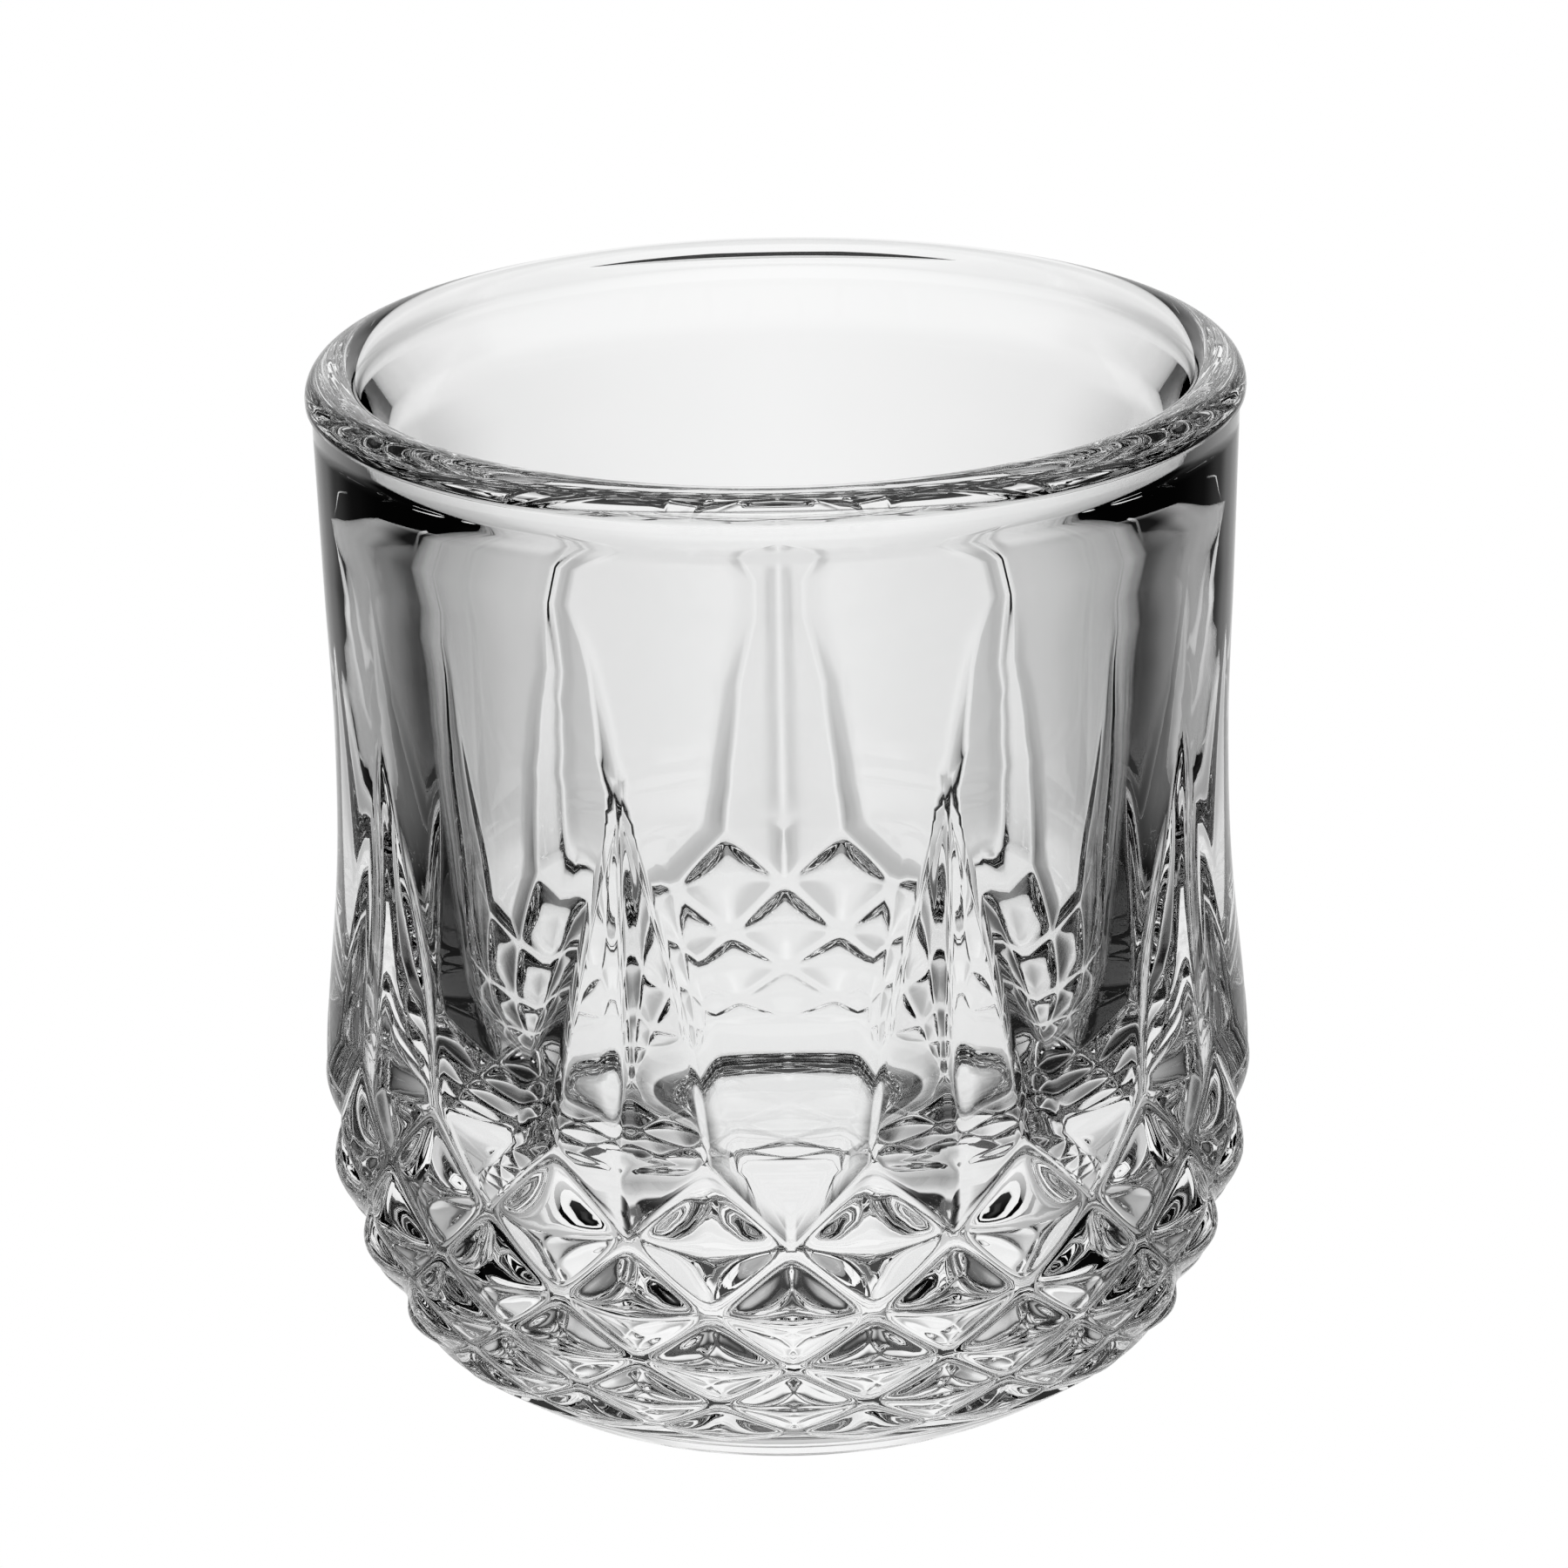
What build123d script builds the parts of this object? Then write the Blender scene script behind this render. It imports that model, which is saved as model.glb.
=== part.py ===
from build123d import *

import os
from math import cos, degrees, radians, sin

# Whiskey tumbler of clear pressed glass, one piece with no joints.
# Millimetres. The origin is the centre of the foot, +Z is up, and -Y is the middle of one
# smooth panel. The pattern repeats nine times round the axis.

# ---- driving dimensions ----
HEIGHT = 90.0
RIM_RADIUS = 40.0
RIM_INNER_RADIUS = 35.3
BEAD_DROP = 2.6  # from the top of the rim down to the groove under the bead
UNDER_BEAD_RADIUS = 39.5

FOOT_RADIUS = 28.5
PUNT_RADIUS = 24.0  # shallow recess under the base, inside the foot ring
PUNT_DEPTH = 1.6

CAVITY_FLOOR = 15.5
CAVITY_CORNER = 25.0  # radius of the rounded bottom of the cavity

# Radius and height of the points the cavity wall runs through, from its rounded bottom up to the
# bead. The wall is thickest at the waist and thins towards the rim.
CAVITY_POINTS = [
    (29.9, CAVITY_FLOOR + CAVITY_CORNER),
    (30.6, 54.0),
    (31.1, 62.0),
    (31.7, 70.0),
    (32.4, 78.0),
    (33.1, 84.0),
    (RIM_INNER_RADIUS, HEIGHT - (RIM_RADIUS - RIM_INNER_RADIUS) / 2),
]

# Radius and height of the points the outer wall runs through, from the foot bevel to the bead.
WALL_POINTS = [
    (34.8, 4.0),
    (37.2, 8.6),
    (39.3, 13.0),
    (40.7, 19.0),
    (41.0, 26.5),
    (40.2, 34.0),
    (39.1, 45.0),
    (38.75, 57.0),
    (39.1, 71.0),
    (UNDER_BEAD_RADIUS, HEIGHT - BEAD_DROP),
]
BLANK_FOOT_RADIUS = 31.0  # foot of the turned blank before the mould pattern trims it

# ---- pattern of the mould ----
PANELS = 9
COLUMNS = 4 * PANELS
STEP = 360 / COLUMNS  # angle between neighbouring columns of lattice corners

# Lattice levels from the waist of the pattern down to the bevel: height, and depth of the
# crossing grooves under the wall. A row of diamonds stands on every level but the first and last.
LEVELS = [(32.0, 1.4), (24.8, 1.6), (18.2, 1.6), (13.0, 1.4), (8.6, 1.2), (5.4, 0.9), (4.0, 0.9)]
PEAK_DEPTH = 0.15

SPEAR_TIP = (62.0, -0.3)  # height and depth, just proud of the wall so the tip fades out
SPEAR_SHOULDER = (47.0, 0.7)
SHOULDER_ANGLE = 5.5  # from the spear axis
RIB_LEVELS = [(57.0, -0.2), (45.0, -0.2), (31.0, -0.2)]  # rib left standing on the spear axis
RIB_ANGLE = 1.3
PANEL_STEP = 1.7  # width of the sloped step between a groove and a smooth panel

MOULD_CENTRE = Vector(0, 0, 30)
MOULD_SCALE = 1.25


def wall_radius(height):
    """Radius of the outer wall, taken straight between the wall points."""
    for (low_r, low_z), (high_r, high_z) in zip(WALL_POINTS, WALL_POINTS[1:]):
        if height <= high_z:
            return low_r + (high_r - low_r) * (height - low_z) / (high_z - low_z)
    return UNDER_BEAD_RADIUS


def on_wall(angle, height, depth):
    """Point at an angle from -Y, a height, and a depth under the outer wall."""
    radius = wall_radius(height) - depth
    turn = radians(angle)
    return Vector(radius * sin(turn), -radius * cos(turn), height)


def corner(column, level):
    """Lattice corner, where the grooves of the mould cross."""
    height, depth = LEVELS[level]
    return on_wall(column % COLUMNS * STEP, height, depth)


def diamond(column, level):
    """The four facets of the diamond whose tip stands on a column and level."""
    tip = on_wall(column * STEP, LEVELS[level][0], PEAK_DEPTH)
    ring = [
        corner(column, level - 1),
        corner(column - 1, level),
        corner(column, level + 1),
        corner(column + 1, level),
    ]
    return [(tip, ring[i], ring[(i + 1) % 4]) for i in range(4)]


def diamond_band():
    """All rows of diamonds, each row turned half a diamond from the row above."""
    facets = []
    for level in range(1, len(LEVELS) - 1):
        for column in range(level % 2, COLUMNS, 2):
            facets += diamond(column, level)
    return facets


def bevel_band():
    """Bevel from the zig-zag lower edge of the last diamonds down through the foot."""
    last = len(LEVELS) - 1
    facets = []
    for column in range(0, COLUMNS, 2):
        crest = corner(column, last - 1)
        for side in (-1, 1):
            trough = corner(column + side, last)
            foot = foot_point(column)
            next_foot = foot_point(column + side)
            facets += [(crest, trough, foot), (trough, next_foot, foot)]
    return facets


def foot_point(column):
    """Point of the bevel a little under the foot, in line with the bevel."""
    height, depth = LEVELS[-1]
    bevel_top = wall_radius(height) - depth
    overrun = 0.25  # share of the bevel height carried on below the foot
    radius = FOOT_RADIUS - overrun * (bevel_top - FOOT_RADIUS)
    turn = radians(column % COLUMNS * STEP)
    return Vector(radius * sin(turn), -radius * cos(turn), -overrun * height)


def spear(column):
    """Spear between two smooth panels: leaf facets either side of a narrow rib."""
    axis = column * STEP
    tip = on_wall(axis, *SPEAR_TIP)
    toe = corner(column, 1)
    ribs = {}
    facets = []
    for side in (-1, 1):
        ribs[side] = [on_wall(axis + side * RIB_ANGLE, *level) for level in RIB_LEVELS]
        rib_top, rib_middle, rib_low = ribs[side]
        shoulder = spear_shoulder(column, side)
        hip = corner(column + side, 0)
        facets += [
            (tip, shoulder, rib_top),
            (rib_top, shoulder, rib_middle),
            (rib_middle, shoulder, hip),
            (rib_middle, hip, rib_low),
            (rib_low, hip, toe),
        ]
    left, right = ribs[-1], ribs[1]
    facets.append((tip, left[0], right[0]))
    for upper, lower in ((0, 1), (1, 2)):
        facets += [
            (left[upper], left[lower], right[lower]),
            (left[upper], right[lower], right[upper]),
        ]
    facets.append((left[2], toe, right[2]))
    return facets


def spear_shoulder(column, side):
    return on_wall(column * STEP + side * SHOULDER_ANGLE, *SPEAR_SHOULDER)


def panel_step(column):
    """Sloped step from the grooves round a smooth panel out through the wall of the panel."""
    slant = 2 * PANEL_STEP
    slant_angle = degrees(slant / RIM_RADIUS)
    tip_height, tip_depth = SPEAR_TIP
    hip_height, hip_depth = LEVELS[0]
    toe_height, toe_depth = LEVELS[1]
    shoulder_height, shoulder_depth = SPEAR_SHOULDER
    groove = [corner(column, 1)]
    brink = [on_wall(column * STEP, toe_height + slant, -toe_depth)]
    for side in (-1, 1):
        hip = corner(column + side, 0)
        hip_brink = on_wall(
            (column + side) * STEP - side * slant_angle * 0.7, hip_height + slant * 0.4, -hip_depth
        )
        shoulder = spear_shoulder(column + 2 * side, -side)
        shoulder_brink = on_wall(
            (column + 2 * side) * STEP - side * (SHOULDER_ANGLE + slant_angle * 0.6),
            shoulder_height + 1,
            -shoulder_depth,
        )
        tip = on_wall((column + 2 * side) * STEP, tip_height, tip_depth)
        tip_brink = on_wall((column + 2 * side) * STEP, tip_height + 2, tip_depth - 0.5)
        groove = [tip, shoulder, hip] + groove if side < 0 else groove + [hip, shoulder, tip]
        new_brink = [hip_brink, shoulder_brink, tip_brink]
        brink = new_brink[::-1] + brink if side < 0 else brink + new_brink
    facets = []
    for i in range(len(groove) - 1):
        facets += [
            (groove[i], groove[i + 1], brink[i + 1]),
            (groove[i], brink[i + 1], brink[i]),
        ]
    return facets


def swollen(point):
    """Point moved away from the mould centre, well clear of the glass."""
    return MOULD_CENTRE + (point - MOULD_CENTRE) * MOULD_SCALE


def key(point):
    return tuple(round(value, 4) for value in point)


def open_edges(facets):
    """Edges that belong to one facet only."""
    edges = {}
    for facet in facets:
        for i in range(3):
            pair = (facet[i], facet[(i + 1) % 3])
            name = frozenset(key(point) for point in pair)
            edges.setdefault(name, []).append(pair)
    return [pairs[0] for pairs in edges.values() if len(pairs) == 1]


def flat_face(points):
    return Face(Wire.make_polygon(points, close=True))


def mould_solid():
    """Iron of the mould outside the pattern, as one closed solid of flat faces."""
    facets = diamond_band() + bevel_band()
    for panel in range(PANELS):
        facets += spear(4 * panel + 2)
        facets += panel_step(4 * panel)
    faces = [flat_face(facet) for facet in facets]
    faces += [flat_face([swollen(point) for point in facet]) for facet in facets]
    faces += [flat_face([a, b, swollen(b), swollen(a)]) for a, b in open_edges(facets)]
    return Solid(Shell(faces))


# ---- the blank, turned about Z ----
bead_radius = (RIM_RADIUS - RIM_INNER_RADIUS) / 2
bead_height = HEIGHT - bead_radius
groove_height = HEIGHT - BEAD_DROP
cavity_low = CAVITY_POINTS[0]
floor_start = cavity_low[0] - CAVITY_CORNER

mould = mould_solid()

with BuildPart() as tumbler_body:
    with BuildSketch(Plane.XZ) as outline:
        with BuildLine():
            Line((0, CAVITY_FLOOR), (floor_start, CAVITY_FLOOR))
            RadiusArc((floor_start, CAVITY_FLOOR), cavity_low, -CAVITY_CORNER)
            Spline(*CAVITY_POINTS)
            RadiusArc((RIM_INNER_RADIUS, bead_height), (RIM_RADIUS, bead_height), bead_radius)
            Line((RIM_RADIUS, bead_height), (UNDER_BEAD_RADIUS, groove_height))
            Spline(*reversed(WALL_POINTS))
            Line(WALL_POINTS[0], (BLANK_FOOT_RADIUS, 0))
            Line((BLANK_FOOT_RADIUS, 0), (PUNT_RADIUS, 0))
            Line((PUNT_RADIUS, 0), (PUNT_RADIUS - 2 * PUNT_DEPTH, PUNT_DEPTH))
            Line((PUNT_RADIUS - 2 * PUNT_DEPTH, PUNT_DEPTH), (0, PUNT_DEPTH))
            Line((0, PUNT_DEPTH), (0, CAVITY_FLOOR))
        make_face()
    revolve(axis=Axis.Z)
    add(mould, mode=Mode.SUBTRACT)

tumbler_body.part.label = "tumbler_body"

os.makedirs("parts", exist_ok=True)
export_step(tumbler_body.part, "parts/tumbler_body.step")
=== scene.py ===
from math import cos, pi, radians, sin

import bpy
import numpy as np
from mathutils import Matrix, Vector


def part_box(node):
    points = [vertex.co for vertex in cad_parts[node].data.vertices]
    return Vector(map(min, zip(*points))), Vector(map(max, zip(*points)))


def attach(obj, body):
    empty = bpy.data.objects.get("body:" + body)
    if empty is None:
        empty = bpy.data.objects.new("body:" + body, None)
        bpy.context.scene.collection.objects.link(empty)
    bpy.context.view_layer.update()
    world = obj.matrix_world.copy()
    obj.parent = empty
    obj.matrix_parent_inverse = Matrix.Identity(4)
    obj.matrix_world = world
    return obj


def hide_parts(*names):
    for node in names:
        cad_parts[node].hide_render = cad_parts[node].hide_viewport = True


# Whiskey tumbler of clear pressed glass. Metres, +Z up, -Y is the middle of a smooth panel.

MM = 0.001

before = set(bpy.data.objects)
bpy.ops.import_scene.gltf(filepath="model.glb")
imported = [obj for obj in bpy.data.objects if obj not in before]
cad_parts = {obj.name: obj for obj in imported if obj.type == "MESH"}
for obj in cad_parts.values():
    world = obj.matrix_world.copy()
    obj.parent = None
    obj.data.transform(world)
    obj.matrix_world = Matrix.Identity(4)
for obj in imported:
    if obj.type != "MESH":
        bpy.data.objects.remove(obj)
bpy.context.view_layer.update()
_, node_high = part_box("tumbler_body")

# ---- sizes, in millimetres ----
HEIGHT = node_high.z / MM
RIM_RADIUS = 40.0
RIM_INNER_RADIUS = 35.3
BEAD_RADIUS = (RIM_RADIUS - RIM_INNER_RADIUS) / 2
BEAD_DROP = 2.6  # from the top of the rim down to the groove under the bead
UNDER_BEAD_RADIUS = 39.5
UNDER_BEAD_HEIGHT = HEIGHT - BEAD_DROP

FOOT_RADIUS = 28.5
PUNT_RADIUS = 24.0  # shallow recess under the base
PUNT_DEPTH = 1.6

CAVITY_FLOOR = 15.5
CAVITY_CORNER = 25.0  # radius of the rounded bottom of the cavity
CAVITY_LOW_RADIUS = 29.9

# Height and radius of points on the cavity wall, which is thickest at the waist.
CAVITY_WALL = [
    (CAVITY_FLOOR + CAVITY_CORNER, CAVITY_LOW_RADIUS),
    (54.0, 30.6),
    (62.0, 31.1),
    (70.0, 31.7),
    (78.0, 32.4),
    (84.0, 33.1),
    (HEIGHT - BEAD_RADIUS, RIM_INNER_RADIUS),
]

# Height and radius of points on the outer wall, without the pattern.
WALL = [
    (4.0, 34.8),
    (8.6, 37.2),
    (13.0, 39.3),
    (19.0, 40.7),
    (26.5, 41.0),
    (34.0, 40.2),
    (45.0, 39.1),
    (57.0, 38.75),
    (71.0, 39.1),
    (UNDER_BEAD_HEIGHT, UNDER_BEAD_RADIUS),
]

# ---- pattern ----
# One column is a quarter of a panel and spear pair, and one level is half a diamond.
PANELS = 9
COLUMNS = 4 * PANELS
COLUMN_ANGLE = 2 * pi / COLUMNS
CUTS = 14  # mesh cells along one column or level

LEVEL_HEIGHTS = [32.0, 24.8, 18.2, 13.0, 8.6, 5.4, 4.0]
GROOVE_DEPTHS = [1.4, 1.6, 1.6, 1.4, 1.2, 0.9, 0.9]
LAST_LEVEL = len(LEVEL_HEIGHTS) - 1

# Widths across the pattern are in columns.
GROOVE_ROUNDING = 0.1  # of the bottom of a groove between diamonds
RIDGE_ROUNDING = 0.2  # of the ridges of a diamond
DIAMOND_HOLLOW = 2.2  # power of the fall from tip to groove; over 1 the facets are hollow

SPEAR_TIP = 62.0
SPEAR_BULGE = 1.4  # power of the narrowing towards the tip; over 1 the sides bow outwards
SPEAR_MESH_TIP = 0.06  # narrowest half width of the spear's mesh columns
SPEAR_FACET_LEAST = 0.35  # least share of the half width that a facet takes up
SPEAR_GROOVE_FADE = 1.2  # power by which the grooves fade out towards the tip
SPEAR_GROOVE_ROUNDING = 0.05
RIB = 0.15  # half width of the rib on the spear axis
RIB_HEIGHT = 0.3
RIB_SHARPNESS = 1.4
RIB_FADE = 6.0  # millimetres over which the rib sinks into the wall under the tip
RIB_TOE = 4.0  # rise of the rib per column from the toe of the spear

PANEL_STEP = 0.36  # width of the step from a groove up to a smooth panel
PANEL_STEP_HOLLOW = 1.5
PANEL_SLANT = 1.4  # length along a column for one square to the slanted toe of a panel


def smooth_curve(points, at):
    """Values of a smooth curve through (place, value) points, by cubic pieces."""
    place, value = np.array(sorted(points)).T
    slope = np.gradient(value, place)
    at = np.clip(at, place[0], place[-1])
    i = np.clip(np.searchsorted(place, at, side="right") - 1, 0, len(place) - 2)
    step = place[i + 1] - place[i]
    t = (at - place[i]) / step
    return (
        (2 * t**3 - 3 * t**2 + 1) * value[i]
        + (t**3 - 2 * t**2 + t) * step * slope[i]
        + (3 * t**2 - 2 * t**3) * value[i + 1]
        + (t**3 - t**2) * step * slope[i + 1]
    )


def wall_radius(height):
    """Radius of the outer wall without the pattern."""
    return smooth_curve(WALL, height)


def soft_fold(t, width):
    """Distance t with its fold at zero rounded off."""
    return np.sqrt(t * t + width * width) - width


def soft_min(a, b, width):
    """Lesser of two values, with the crease where they meet rounded off."""
    return 0.5 * (a + b - np.sqrt((a - b) ** 2 + width * width))


# ---- relief: depth of the pattern under the wall ----
def diamond_depth(column, level, groove):
    """Four-sided pyramids between two families of crossing grooves."""
    rising = np.abs((column + level) % 2 - 1)
    falling = np.abs((column - level) % 2 - 1)
    rising, falling = soft_fold(rising, GROOVE_ROUNDING), soft_fold(falling, GROOVE_ROUNDING)
    rise = np.clip(soft_min(rising, falling, RIDGE_ROUNDING), 0, 1)
    return groove * (1 - rise) ** DIAMOND_HOLLOW


def rib_height(across):
    return RIB_HEIGHT * np.exp(-((across / RIB) ** 2) * RIB_SHARPNESS)


def spear_depth(across, half_width, groove, fade):
    """Two slanted facets that rise from the grooves to a rounded rib on the axis."""
    inside = 1 - across / half_width
    reach = np.maximum(1 - RIB / half_width, SPEAR_FACET_LEAST)
    rise = np.clip(inside / reach, 0, 1)
    return groove * (1 - soft_fold(rise, SPEAR_GROOVE_ROUNDING)) - rib_height(across) * fade


def panel_depth(distance, groove):
    """Short steep step from the groove up to the smooth panel."""
    rise = np.clip(distance / PANEL_STEP, 0, 1)
    return groove * (1 - rise) ** PANEL_STEP_HOLLOW


def along_spear(height):
    """Share of the way up a spear, from its hips to its tip."""
    hips = LEVEL_HEIGHTS[0]
    return np.clip((height - hips) / (SPEAR_TIP - hips), 0, 1)


def spear_half_width(height):
    return np.maximum(1 - along_spear(height) ** SPEAR_BULGE, SPEAR_MESH_TIP)


def spear_groove(height):
    return GROOVE_DEPTHS[0] * (1 - along_spear(height)) ** SPEAR_GROOVE_FADE


def rib_fade(height):
    """The rib sinks into the wall over its top few millimetres."""
    return float(np.clip((SPEAR_TIP - height) / RIB_FADE, 0, 1))


def band_depth(column, level):
    """Depth over the lattice, from the hips of the spears down to the foot bevel."""
    steps = np.arange(len(LEVEL_HEIGHTS))
    groove = np.interp(level, steps, GROOVE_DEPTHS)
    depth = diamond_depth(column, level, groove)
    in_panel = np.abs((column + 2) % 4 - 2)  # columns from the nearest panel centre
    in_spear = 2 - in_panel
    inside_panel = 1 - in_panel - level
    inside_spear = 1 - in_spear - level
    depth = np.where(inside_panel >= 0, panel_depth(inside_panel / PANEL_SLANT, groove), depth)
    rise = np.clip(inside_spear / (1 - RIB), 0, 1)
    spear = groove * (1 - soft_fold(rise, SPEAR_GROOVE_ROUNDING))
    spear = spear - rib_height(in_spear) * np.clip(inside_spear * RIB_TOE, 0, 1)
    depth = np.where(inside_spear >= 0, spear, depth)
    from_crest = np.abs((column + 1) % 2 - 1)
    below_crest = level - (LAST_LEVEL - 1)
    return np.where(from_crest <= below_crest, groove, depth)


# ---- rows of the mesh, from the rim down the outside, under the foot and up the cavity ----
GATHER_REACH = 6 / CUTS  # columns either side of a spear axis whose mesh is drawn in
GATHER_POWER = 1.7
GATHER_RELEASE = 0.57  # level at which the mesh is back to even spacing
GATHER_RELEASE_SPAN = 0.37
EVEN_ABOVE = 74.0  # height over which the mesh columns are evenly spaced
FOLLOW_BELOW = 65.0  # height under which they follow the spears

grid_columns = np.arange(COLUMNS * CUTS) / CUTS


def ring(radius, height, columns=grid_columns):
    """Row of points round the glass, one for each mesh column."""
    angle = columns * COLUMN_ANGLE
    radius = np.broadcast_to(radius, angle.shape)
    height = np.broadcast_to(height, angle.shape)
    return np.stack([radius * np.sin(angle), -radius * np.cos(angle), height], axis=1) * MM


def gather(from_spear, amount=1.0):
    """Draws the mesh columns nearest a spear axis towards it, so that the rib is smooth."""
    inside = GATHER_REACH * (from_spear / GATHER_REACH) ** GATHER_POWER
    drawn = np.where(from_spear < GATHER_REACH, inside, from_spear)
    return from_spear + (drawn - from_spear) * amount


def spear_row(height, relax=0.0):
    """Row above the lattice whose mesh columns close in on the spears.

    Relax goes from 0, where the columns follow the spears, to 1, where they are evenly spaced.
    There is no relief on a row that is relaxed at all.
    """
    half = spear_half_width(height)
    from_spear = np.abs(grid_columns % 4 - 2)
    side = np.sign(grid_columns % 4 - 2)
    gathered = gather(from_spear)
    squeezed = np.where(from_spear <= 1, gathered * half, half + (from_spear - 1) * (2 - half))
    across = squeezed + (from_spear - squeezed) * relax
    columns = grid_columns - side * from_spear + side * across
    groove = spear_groove(height)
    depth = np.where(
        from_spear <= 1,
        spear_depth(across, half, groove, rib_fade(height)),
        panel_depth(across - half, groove),
    )
    return ring(wall_radius(height) - depth * (relax == 0), height, columns)


def arc_rows(centre, radius, start, end, count):
    """Rows round an arc in the radial plane; angles in degrees from outward, anticlockwise."""
    rows = []
    for turn in np.radians(np.linspace(start, end, count)):
        rows.append(ring(centre[0] + radius * cos(turn), centre[1] + radius * sin(turn)))
    return rows


def bead_rows():
    centre = (RIM_INNER_RADIUS + BEAD_RADIUS, HEIGHT - BEAD_RADIUS)
    return arc_rows(centre, BEAD_RADIUS, 180, -8, 18)


def upper_rows():
    rows = []
    for height in np.linspace(UNDER_BEAD_HEIGHT, EVEN_ABOVE, 6):
        rows.append(spear_row(height, relax=1.0))
    for height in (71.5, 69, 67):
        relax = (height - FOLLOW_BELOW) / (EVEN_ABOVE - FOLLOW_BELOW)
        rows.append(spear_row(height, relax))
    for height in np.linspace(FOLLOW_BELOW, LEVEL_HEIGHTS[0], 28)[:-1]:
        rows.append(spear_row(height))
    return rows


def band_rows():
    steps = np.arange(len(LEVEL_HEIGHTS))
    rows = []
    for level in np.arange(LAST_LEVEL * CUTS + 1) / CUTS:
        height = float(smooth_curve(list(zip(steps, LEVEL_HEIGHTS)), level))
        from_spear = grid_columns % 4 - 2
        amount = float(np.clip((GATHER_RELEASE - level) / GATHER_RELEASE_SPAN, 0, 1))
        drawn = np.sign(from_spear) * gather(np.abs(from_spear), amount)
        columns = grid_columns - from_spear + drawn
        depth = band_depth(columns, level)
        rows.append(ring(wall_radius(height) - depth, height, columns))
    return rows


def foot_rows():
    """Down the bevel, round the foot ring and into the recess under the base."""
    low = wall_radius(LEVEL_HEIGHTS[-1]) - GROOVE_DEPTHS[-1]
    profile = [
        (low + (FOOT_RADIUS - low) * 0.33, LEVEL_HEIGHTS[-1] * 0.67),
        (low + (FOOT_RADIUS - low) * 0.66, LEVEL_HEIGHTS[-1] * 0.34),
        (FOOT_RADIUS + 0.15, 0.35),
        (FOOT_RADIUS - 0.1, 0.1),
        (FOOT_RADIUS - 0.5, 0.0),
        (PUNT_RADIUS + 0.4, 0.0),
        (PUNT_RADIUS, 0.1),
        (PUNT_RADIUS - 0.5, 0.35),
        (PUNT_RADIUS - 2.8, 1.4),
        (PUNT_RADIUS - 3.4, PUNT_DEPTH),
        (PUNT_RADIUS / 2, PUNT_DEPTH),
    ]
    return [ring(radius, height) for radius, height in profile]


def cavity_rows():
    """From the floor of the cavity up its rounded corner and wall to the rim."""
    centre = (CAVITY_LOW_RADIUS - CAVITY_CORNER, CAVITY_FLOOR + CAVITY_CORNER)
    rows = [ring(centre[0] / 2, CAVITY_FLOOR)]
    rows += arc_rows(centre, CAVITY_CORNER, -90, 0, 14)
    for height in np.linspace(centre[1], HEIGHT - BEAD_RADIUS, 16)[1:-1]:
        rows.append(ring(smooth_curve(CAVITY_WALL, height), height))
    return rows


def make_glass():
    """One closed mesh of the glass, outside and cavity together."""
    before_band = bead_rows() + upper_rows()
    outside = before_band + band_rows() + foot_rows()
    inside = cavity_rows()
    around = len(grid_columns)
    band_start = len(before_band)
    band_end = band_start + LAST_LEVEL * CUTS
    points = np.concatenate(outside + inside)
    underside = len(points)
    floor = underside + 1
    points = np.concatenate([points, [[0, 0, PUNT_DEPTH * MM], [0, 0, CAVITY_FLOOR * MM]]])

    faces = []

    def join(upper, lower, groove_cells=False):
        for i in range(around):
            j = (i + 1) % around
            a, b = upper * around + i, upper * around + j
            c, d = lower * around + j, lower * around + i
            if groove_cells:
                column, level = i // CUTS, (upper - band_start) // CUTS
                if (column + level) % 2:
                    faces.extend([(a, d, c), (a, c, b)])
                else:
                    faces.extend([(a, d, b), (b, d, c)])
            else:
                faces.append((a, d, c, b))

    for row in range(len(outside) - 1):
        join(row, row + 1, band_start <= row < band_end)
    last = len(outside) - 1
    first_inside = len(outside)
    for i in range(around):
        j = (i + 1) % around
        faces.append((last * around + i, underside, last * around + j))
        faces.append((first_inside * around + i, first_inside * around + j, floor))
    last_inside = first_inside + len(inside) - 1
    for row in range(first_inside, last_inside):
        join(row, row + 1)
    join(last_inside, 0)
    mesh = bpy.data.meshes.new("tumbler_glass")
    mesh.from_pydata(points.tolist(), [], faces)
    mesh.validate()
    mesh.shade_smooth()
    return mesh


glass_mesh = make_glass()
tumbler = bpy.data.objects.new("tumbler_glass", glass_mesh)
bpy.context.scene.collection.objects.link(tumbler)


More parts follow.
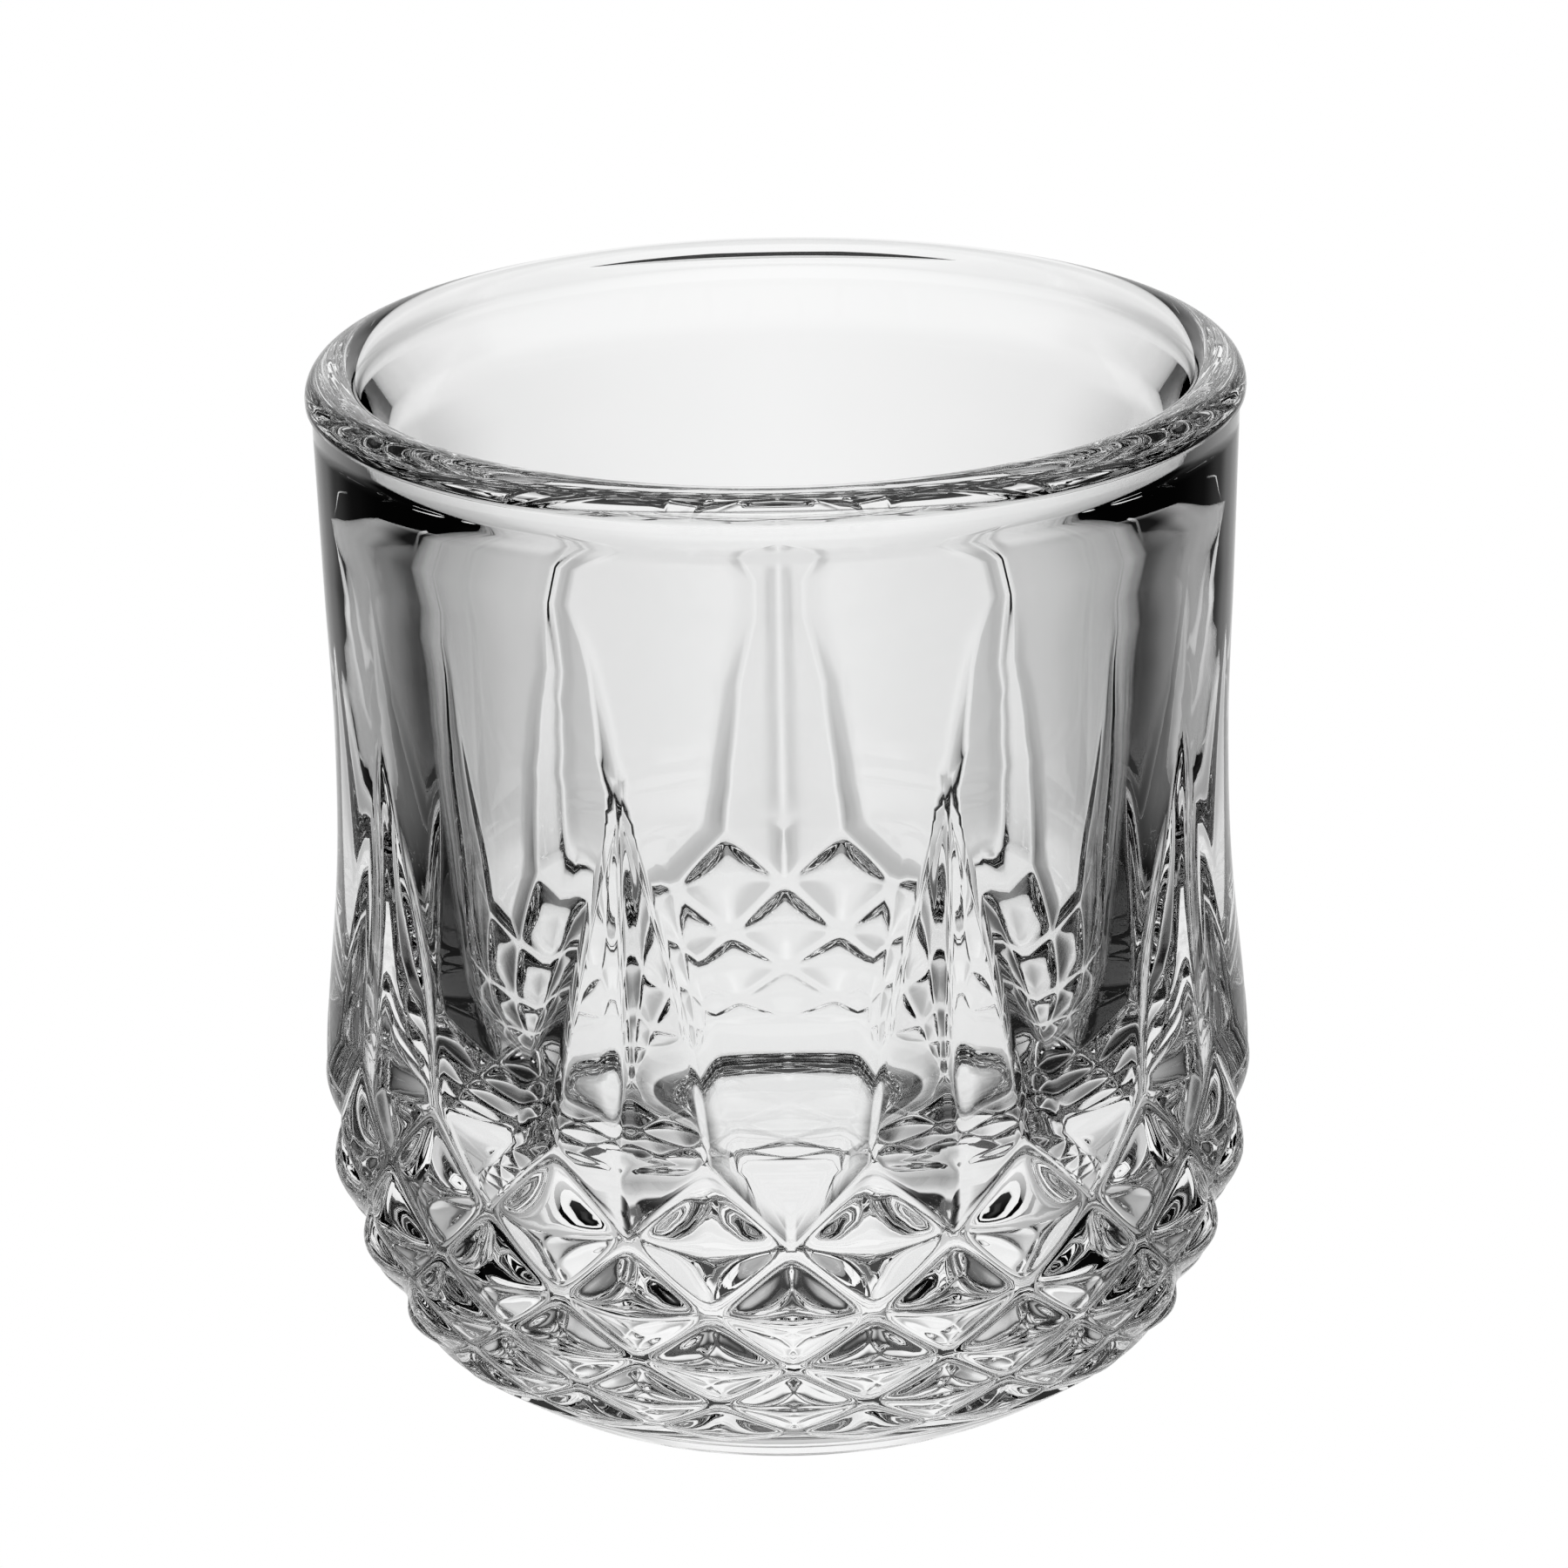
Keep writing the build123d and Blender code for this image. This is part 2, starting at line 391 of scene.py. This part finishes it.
# ---- node helper ----
class Graph:
    """Small helper that adds value nodes to a node tree."""

    def __init__(self, tree):
        self.nodes, self.links = tree.nodes, tree.links

    def math(self, operation, *values):
        node = self.nodes.new("ShaderNodeMath")
        node.operation = operation
        for socket, value in zip(node.inputs, values):
            self.put(socket, value)
        return node.outputs[0]

    def put(self, socket, value):
        if isinstance(value, (int, float)):
            socket.default_value = value
        else:
            self.links.new(value, socket)

    def mix(self, share, first, second):
        """First value where the share is 0, second where it is 1."""
        node = self.nodes.new("ShaderNodeMix")
        node.data_type = "FLOAT"
        for socket, value in zip(node.inputs, (share, None, first, second)):
            if value is not None:
                self.put(socket, value)
        return node.outputs[0]

    def noise(self, scale, detail, drawn_out=1.0):
        """Noise over the object, drawn out along Z when the factor is under one."""
        place = self.nodes.new("ShaderNodeTexCoord")
        stretch = self.nodes.new("ShaderNodeMapping")
        stretch.inputs["Scale"].default_value = (1, 1, drawn_out)
        self.links.new(place.outputs["Object"], stretch.inputs["Vector"])
        texture = self.nodes.new("ShaderNodeTexNoise")
        texture.inputs["Scale"].default_value = scale
        texture.inputs["Detail"].default_value = detail
        self.links.new(stretch.outputs[0], texture.inputs["Vector"])
        return texture.outputs[0]

    def ramp(self, value, start, end, low=0.0, high=1.0):
        """Smooth change from low to high while value goes from start to end."""
        node = self.nodes.new("ShaderNodeMapRange")
        node.interpolation_type = "SMOOTHSTEP"
        names = ("From Min", "From Max", "To Min", "To Max")
        for name, number in zip(names, (start, end, low, high)):
            node.inputs[name].default_value = number
        self.put(node.inputs["Value"], value)
        return node.outputs["Result"]

    def curve(self, value, stops):
        """Smooth curve through (place, value) stops, with places from 0 to 1."""
        node = self.nodes.new("ShaderNodeValToRGB")
        node.color_ramp.interpolation = "EASE"
        elements = node.color_ramp.elements
        while len(elements) < len(stops):
            elements.new(0.5)
        for element, (place, strength) in zip(elements, stops):
            element.position = place
            element.color = (strength, strength, strength, 1)
        self.put(node.inputs[0], value)
        return node.outputs[0]

    def from_camera(self, vector):
        """Parts of a direction as the camera sees it: right, up and forward."""
        turn = self.nodes.new("ShaderNodeVectorTransform")
        turn.vector_type = "VECTOR"
        turn.convert_from, turn.convert_to = "WORLD", "CAMERA"
        self.links.new(vector, turn.inputs["Vector"])
        split = self.nodes.new("ShaderNodeSeparateXYZ")
        self.links.new(turn.outputs["Vector"], split.inputs[0])
        return split.outputs

    def camera_ray(self):
        return self.nodes.new("ShaderNodeLightPath").outputs["Is Camera Ray"]


# ---- clear glass ----
REFRACTIVE_INDEX = 1.52
MIST_ROUGHNESS = 0.004
DEEPEST_TINT = (0.990, 0.994, 0.993)
WAVE_HEIGHT = 0.15 * MM


def glass_material():
    """Clear glass with the faint drawn-out waves, mist and tint of a fire-polished pressing."""
    material = bpy.data.materials.new("clear_glass")
    material.use_nodes = True
    graph = Graph(material.node_tree)
    shader = graph.nodes["Principled BSDF"]
    shader.inputs["IOR"].default_value = REFRACTIVE_INDEX
    shader.inputs["Transmission Weight"].default_value = 1.0

    mist = graph.noise(scale=350, detail=3)
    graph.put(shader.inputs["Roughness"], graph.ramp(mist, 0.5, 0.75, 0.0, MIST_ROUGHNESS))

    tint = graph.noise(scale=45, detail=1)
    colour = graph.nodes.new("ShaderNodeCombineColor")
    for part, deepest in zip(colour.inputs, DEEPEST_TINT):
        graph.put(part, graph.ramp(tint, 0.3, 0.7, 1.0, deepest))
    graph.put(shader.inputs["Base Color"], colour.outputs[0])

    waves = graph.nodes.new("ShaderNodeBump")
    waves.inputs["Strength"].default_value = 0.25
    waves.inputs["Distance"].default_value = WAVE_HEIGHT
    graph.put(waves.inputs["Height"], graph.noise(scale=60, detail=1, drawn_out=0.2))
    graph.put(shader.inputs["Normal"], waves.outputs[0])
    return material


tumbler.data.materials.append(glass_material())
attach(tumbler, "root")
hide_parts("tumbler_body")


# ---- camera ----
CAMERA_RISE = radians(20.35)
CAMERA_TIP = radians(-1.053)
CAMERA_DISTANCE = 13.01  # in rim radii, as is the point looked at
LOOK_AT = (0.0027, 0, 1.2753)
SENSOR_WIDTH = 36  # millimetres
LENS = 3.804 * SENSOR_WIDTH


def make_camera():
    """Stands in front and a little above, and tips its head about one degree."""
    unit = RIM_RADIUS * MM
    rise, tip = CAMERA_RISE, CAMERA_TIP
    distance = CAMERA_DISTANCE * unit
    look_at = Vector(LOOK_AT) * unit
    forward = Vector((0, cos(rise), -sin(rise)))
    right = Vector((1, 0, 0))
    up = right.cross(forward)
    right, up = right * cos(tip) + up * sin(tip), up * cos(tip) - right * sin(tip)
    data = bpy.data.cameras.new("camera")
    data.sensor_width = SENSOR_WIDTH
    data.lens = LENS
    data.clip_start = 0.01
    camera = bpy.data.objects.new("camera", data)
    turn = Matrix((right, up, -forward)).transposed()
    camera.matrix_world = Matrix.Translation(look_at - forward * distance) @ turn.to_4x4()
    bpy.context.scene.collection.objects.link(camera)
    bpy.context.scene.camera = camera


make_camera()


# ---- studio ----
# The light that the glass sees depends on direction only, and turns with the camera. A direction
# has a part across the view, a part ahead of the viewer and a part up.

# Strength ahead, by how far to the side: a white sweep between two dark cards.
SWEEP = [
    (0.0, 0.97),
    (0.1, 0.9),
    (0.2, 0.68),
    (0.32, 0.55),
    (0.45, 0.42),
    (0.58, 0.14),
    (0.72, 0.03),
    (0.85, 0.01),
]
DARK = 0.01
# Strength of the floor's painted light where rays from the glass see it brightest.
FLOOR_GLOW = 0.9
FLOOR_BEHIND = 0.35  # share of the floor's light behind the viewer

# Spans of the part named, over which one light gives way to the next.
AHEAD = (-0.1, 0.1)
FLOOR_SIDE = (0.2, 0.6)
CARD_FOOT = (-0.55, -0.48)  # rays that go down more steeply pass in front of the cards
CARD_TOP = (0.0, 0.15)  # rays that go up more steeply pass over the cards
BACKDROP_SIDE = (0.3, 0.6)
BACKDROP_TOP = (0.35, 0.55)
CEILING_FOOT = (0.1, 0.4)


def studio_light(graph, direction):
    """Strength of the light that a ray meets when it leaves along a world direction."""
    across, _, ahead = graph.from_camera(direction)
    split = graph.nodes.new("ShaderNodeSeparateXYZ")
    graph.links.new(direction, split.inputs[0])
    up = split.outputs[2]
    side = graph.math("ABSOLUTE", across)

    between_cards = graph.curve(side, SWEEP)
    backdrop_side = graph.ramp(side, *BACKDROP_SIDE, 0.97, 0.02)
    backdrop_top = graph.ramp(up, *BACKDROP_TOP, 1.0, 0.05)
    over_cards = graph.math("MULTIPLY", backdrop_side, backdrop_top)
    in_front = graph.mix(graph.ramp(up, *CARD_TOP), between_cards, over_cards)

    ceiling = graph.ramp(up, *CEILING_FOOT, 0.05, 0.97)
    above_floor = graph.mix(graph.ramp(ahead, *AHEAD), ceiling, in_front)

    floor_side = graph.ramp(side, *FLOOR_SIDE, FLOOR_GLOW, 0.0)
    floor_ahead = graph.ramp(ahead, *AHEAD, FLOOR_BEHIND, 1.0)
    floor = graph.math("MULTIPLY", floor_side, floor_ahead)
    light = graph.mix(graph.ramp(up, *CARD_FOOT), floor, above_floor)
    return graph.math("MAXIMUM", light, DARK)


def pure_white_to_camera(graph, light):
    return graph.math("MAXIMUM", light, graph.camera_ray())


def world_light():
    world = bpy.data.worlds.new("studio")
    bpy.context.scene.world = world
    world.use_nodes = True
    graph = Graph(world.node_tree)
    direction = graph.nodes.new("ShaderNodeTexCoord").outputs["Generated"]
    light = pure_white_to_camera(graph, studio_light(graph, direction))
    graph.put(graph.nodes["Background"].inputs["Strength"], light)
    graph.nodes["Background"].inputs["Color"].default_value = (1, 1, 1, 1)


FLOOR_RADIUS = 2.5
FLOOR_GAP = 0.1 * MM  # between the foot and the floor


def make_floor():
    """Pale floor that glows with painted light instead of being lit: pure white to the camera,
    and to rays from the glass it carries the same light on down, as a white sweep does, painted
    darker to the sides and behind the viewer.
    """
    bpy.ops.mesh.primitive_circle_add(vertices=96, radius=FLOOR_RADIUS, fill_type="NGON")
    floor = bpy.context.object
    floor.name = "studio_floor"
    floor.location.z = -FLOOR_GAP
    material = bpy.data.materials.new("floor_painted_light")
    material.use_nodes = True
    graph = Graph(material.node_tree)
    graph.nodes.clear()
    light = graph.nodes.new("ShaderNodeEmission")
    out = graph.nodes.new("ShaderNodeOutputMaterial")
    graph.links.new(light.outputs[0], out.inputs["Surface"])
    towards_viewer = graph.nodes.new("ShaderNodeNewGeometry").outputs["Incoming"]
    away = graph.nodes.new("ShaderNodeVectorMath")
    away.operation = "SCALE"
    away.inputs["Scale"].default_value = -1
    graph.links.new(towards_viewer, away.inputs[0])
    # Painted light: the floor's emission strength stands in for lamp light falling on it.
    strength = pure_white_to_camera(graph, studio_light(graph, away.outputs[0]))
    graph.put(light.inputs["Strength"], strength)
    floor.data.materials.append(material)


world_light()
make_floor()

# Light that is caught in the glass for longer than this goes dark and draws the pattern's lines.
BOUNCES = 6

scene = bpy.context.scene
scene.view_settings.view_transform = "Standard"
scene.cycles.max_bounces = BOUNCES
scene.cycles.transmission_bounces = BOUNCES
scene.cycles.glossy_bounces = BOUNCES
